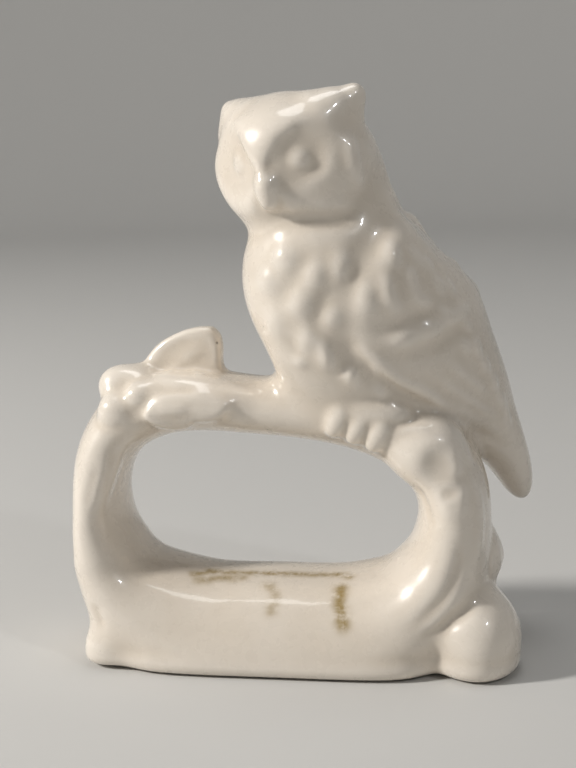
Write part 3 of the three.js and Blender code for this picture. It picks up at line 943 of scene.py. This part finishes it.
# Small nodes whose clay may be smoothed away into a neighbour, which then stands for them too.
SMOOTHED_INTO = {
    "owl_head": ("ear_left", "ear_right", "eye_left", "eye_right", "beak"),
    "bough_left": ("leaf_hanging",),
    "bough_right": ("branch_stub",),
}


def build_pieces():
    clay = build_clay()
    skin = Skin(*clay.skin())
    face = share_out(clay, skin)
    model_skin(skin)
    links = shared_edges(skin.quads)
    notes = surface_notes(skin)
    glaze = glaze_material()
    shows = [bool((face == number).any()) for number in range(len(clay.names))]
    lost = {node for node, seen in zip(clay.names, shows) if not seen}
    for number, node in enumerate(clay.names):
        if not shows[number]:
            continue
        piece = build_piece(node + "_glazed", clay, skin, face == number, links, notes)
        piece.data.materials.append(glaze)
        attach(piece, "root")
        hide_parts(node, *sorted(lost & set(SMOOTHED_INTO.get(node, ()))))


# ---------------------------------------------------------------------------------------------- material


class Nodes:
    """A short way to lay out a material's nodes."""

    def __init__(self, name):
        self.material = bpy.data.materials.new(name)
        self.material.use_nodes = True
        self.tree = self.material.node_tree
        self.shader = self.tree.nodes["Principled BSDF"]

    def node(self, kind, **values):
        made = self.tree.nodes.new(kind)
        for key, value in values.items():
            if key in made.inputs:
                made.inputs[key].default_value = value
            else:
                setattr(made, key, value)
        return made

    def link(self, out, socket):
        self.tree.links.new(out, socket)

    def note(self, name):
        return self.node("ShaderNodeAttribute", attribute_name=name).outputs["Fac"]

    def noise(self, scale, detail=3.0, rough=0.5):
        made = self.node("ShaderNodeTexNoise", Scale=scale, Detail=detail, Roughness=rough)
        self.link(self.where, made.inputs["Vector"])
        return made.outputs["Fac"]

    def ramp(self, value, low, high):
        made = self.node("ShaderNodeMapRange", interpolation_type="SMOOTHSTEP")
        made.inputs["From Min"].default_value = low
        made.inputs["From Max"].default_value = high
        self.link(value, made.inputs["Value"])
        return made.outputs["Result"]

    def times(self, a, b):
        made = self.node("ShaderNodeMath", operation="MULTIPLY")
        self.link(a, made.inputs[0])
        if isinstance(b, float):
            made.inputs[1].default_value = b
        else:
            self.link(b, made.inputs[1])
        return made.outputs[0]

    def mix(self, share, a, b):
        made = self.node("ShaderNodeMix", data_type="RGBA")
        self.link(share, made.inputs["Factor"])
        for name, value in (("A", a), ("B", b)):
            socket = [s for s in made.inputs if s.name == name and s.type == "RGBA"][0]
            if isinstance(value, tuple):
                socket.default_value = (*value, 1.0)
            else:
                self.link(value, socket)
        return [s for s in made.outputs if s.type == "RGBA"][0]


# Glaze colours, linear: the body in two tints, where it pools in hollows (darker there, partly painted
# shade), where it runs thin, and what lies on it.
CREAM = (0.80, 0.728, 0.635)
IVORY = (0.76, 0.682, 0.582)
POOLED_AND_SHADE = (0.61, 0.53, 0.43)
THIN = (0.86, 0.80, 0.72)
RESIDUE = (0.33, 0.235, 0.085)
BISQUE = (0.70, 0.64, 0.56)
SPECK = (0.16, 0.12, 0.09)
BISQUE_ROUGH = 0.85
GLAZE_ROUGH = (0.20, 0.36)
# Noise scales, per metre.
TINT_SCALE = 90.0
SPECK_SCALE = 420.0
SPECK_PATCH_SCALE = 260.0
RESIDUE_SCALE = 700.0
SHEEN_SCALE = 500.0
RIPPLE_SCALE = 520.0


def kiln_specks(g):
    """A few tiny dark dots, in loose patches."""
    cells = g.node("ShaderNodeTexVoronoi", Scale=SPECK_SCALE)
    g.link(g.where, cells.inputs["Vector"])
    dots = g.ramp(cells.outputs["Distance"], 0.10, 0.05)
    return g.times(dots, g.ramp(g.noise(SPECK_PATCH_SCALE, 1.0), 0.66, 0.72))


def glaze_colour(g, specks, foot):
    """Cream, paler where raised and darker and warmer where hollow (glaze pooling, and partly painted shade
    in the creases), then specks, residue and the bare foot.
    """
    colour = g.mix(g.ramp(g.noise(TINT_SCALE, 4.0), 0.35, 0.7), CREAM, IVORY)
    colour = g.mix(g.times(g.note("raised"), 0.6), colour, THIN)
    # Hollows darkened: partly glaze pooling, partly painted shade in creases and recesses.
    colour = g.mix(g.times(g.note("hollow"), 0.25), colour, POOLED_AND_SHADE)
    colour = g.mix(g.times(specks, 0.7), colour, SPECK)
    patchy = g.ramp(g.noise(RESIDUE_SCALE, 5.0, 0.6), 0.22, 0.6)
    colour = g.mix(g.times(g.note("stain"), patchy), colour, RESIDUE)
    return g.mix(foot, colour, BISQUE)


def glaze_roughness(g, foot):
    """A gloss that varies a little, and the dull bare foot."""
    gloss = g.node("ShaderNodeMapRange")
    g.link(g.noise(SHEEN_SCALE, 3.0), gloss.inputs["Value"])
    gloss.inputs["To Min"].default_value, gloss.inputs["To Max"].default_value = GLAZE_ROUGH
    rough = g.node("ShaderNodeMath", operation="MAXIMUM")
    g.link(g.times(foot, BISQUE_ROUGH), rough.inputs[0])
    g.link(gloss.outputs["Result"], rough.inputs[1])
    return rough.outputs[0]


def glaze_material():
    """Cream porcelain under a clear coat of gloss glaze that ripples slightly, with a pit at each speck."""
    g = Nodes("porcelain_glaze")
    g.where = g.node("ShaderNodeTexCoord").outputs["Object"]
    specks, foot = kiln_specks(g), g.note("foot")
    g.link(glaze_colour(g, specks, foot), g.shader.inputs["Base Color"])
    g.link(glaze_roughness(g, foot), g.shader.inputs["Roughness"])
    ripple = g.node("ShaderNodeBump", Strength=0.25, Distance=0.1 * MM)
    g.link(g.noise(RIPPLE_SCALE, 2.0, 0.4), ripple.inputs["Height"])
    pits = g.node("ShaderNodeBump", Strength=0.6, Distance=0.2 * MM, invert=True)
    g.link(specks, pits.inputs["Height"])
    g.link(ripple.outputs["Normal"], pits.inputs["Normal"])
    g.link(pits.outputs["Normal"], g.shader.inputs["Normal"])
    g.link(ripple.outputs["Normal"], g.shader.inputs["Coat Normal"])
    g.shader.inputs["IOR"].default_value = 1.5
    g.shader.inputs["Coat Weight"].default_value = 0.8
    g.shader.inputs["Coat Roughness"].default_value = 0.05
    g.shader.inputs["Coat IOR"].default_value = 1.5
    return g.material


build_pieces()


# ---------------------------------------------------------------------------------------- camera and light

# The camera looks at a point from a direction round to the right and above the front, and leans a little.
LOOK_AT = Vector((-2.0, 0.0, 40.8)) * MM
AZIMUTH = math.radians(9.0)
ELEVATION = math.radians(10.5)
DISTANCE = 216.0 * MM
ROLL = math.radians(-1.3)
LENS = 69.4
SENSOR = 36.0


def build_camera():
    data = bpy.data.cameras.new("camera")
    data.lens = LENS
    data.sensor_width = SENSOR
    data.clip_start = 0.01
    data.clip_end = 10.0
    camera = bpy.data.objects.new("camera", data)
    bpy.context.scene.collection.objects.link(camera)
    flat = math.cos(ELEVATION)
    back = Vector((math.sin(AZIMUTH) * flat, -math.cos(AZIMUTH) * flat, math.sin(ELEVATION)))
    camera.location = LOOK_AT + back * DISTANCE
    turn = (-back).to_track_quat("-Z", "Y").to_matrix() @ Matrix.Rotation(ROLL, 3, "Z")
    camera.rotation_euler = turn.to_euler()
    bpy.context.scene.camera = camera


def area_light(name, place, target, size, power, colour):
    """A round lamp that faces its target."""
    data = bpy.data.lights.new(name, "AREA")
    data.shape = "DISK"
    data.size = size
    data.energy = power
    data.color = colour
    light = bpy.data.objects.new(name, data)
    bpy.context.scene.collection.objects.link(light)
    light.location = place
    light.rotation_euler = (Vector(target) - Vector(place)).to_track_quat("-Z", "Y").to_euler()


# The floor, in metres: its flat radius, the curve and wall round it, and how finely it is turned.
FLOOR_RADIUS = 0.8
SWEEP = 0.35
SWEEP_ANGLE = math.radians(85.0)
WALL_TOP = 0.9
WALL_LEAN = 0.05
FLOOR_RINGS = 12
FLOOR_SIDES = 96
PAPER = (0.62, 0.615, 0.60, 1)


def floor_mesh():
    """A round floor that sweeps up into a wall all round, so no horizon shows."""
    profile = [(FLOOR_RADIUS * k / FLOOR_RINGS, 0.0) for k in range(FLOOR_RINGS + 1)]
    for k in range(1, FLOOR_RINGS + 1):
        turn = SWEEP_ANGLE * k / FLOOR_RINGS
        profile.append((FLOOR_RADIUS + SWEEP * math.sin(turn), SWEEP * (1 - math.cos(turn))))
    profile.append((profile[-1][0] + WALL_LEAN, WALL_TOP))
    spots, faces = [(0.0, 0.0, 0.0)], []
    for radius, height in profile[1:]:
        for k in range(FLOOR_SIDES):
            turn = 2 * math.pi * k / FLOOR_SIDES
            spots.append((radius * math.cos(turn), radius * math.sin(turn), height))
    for k in range(FLOOR_SIDES):
        after = (k + 1) % FLOOR_SIDES
        faces.append((0, 1 + k, 1 + after))
        for ring in range(len(profile) - 2):
            low, high = 1 + ring * FLOOR_SIDES, 1 + (ring + 1) * FLOOR_SIDES
            faces.append((low + k, high + k, high + after, low + after))
    data = bpy.data.meshes.new("floor")
    data.from_pydata(spots, [], faces)
    data.polygons.foreach_set("use_smooth", [True] * len(data.polygons))
    return data


def build_floor():
    """The floor, in dull pale paper."""
    data = floor_mesh()
    floor = bpy.data.objects.new("floor", data)
    bpy.context.scene.collection.objects.link(floor)
    paper = bpy.data.materials.new("pale_paper")
    paper.use_nodes = True
    shader = paper.node_tree.nodes["Principled BSDF"]
    shader.inputs["Base Color"].default_value = PAPER
    shader.inputs["Roughness"].default_value = 0.95
    shader.inputs["Specular IOR Level"].default_value = 0.1
    data.materials.append(paper)


def build_light():
    """A soft warm key from the left, a small sparkle from the right, a backdrop lamp, and a dim sky."""
    area_light("key", (-0.62, -0.27, 0.42), (0, 0, 0.04), 0.10, 5.6, (1.0, 0.965, 0.92))
    area_light("sparkle", (0.42, -0.36, 0.50), (0, 0, 0.05), 0.05, 0.45, (0.97, 0.98, 1.0))
    area_light("backdrop", (0.0, 0.1, 1.2), (0.0, 0.7, 0.0), 0.6, 3.2, (1.0, 0.99, 0.97))
    world = bpy.data.worlds.new("studio")
    world.use_nodes = True
    sky = world.node_tree.nodes["Background"]
    sky.inputs["Color"].default_value = (0.9, 0.92, 0.95, 1)
    sky.inputs["Strength"].default_value = 0.08
    bpy.context.scene.world = world


build_camera()
build_floor()
build_light()
bpy.context.scene.view_settings.view_transform = "Standard"
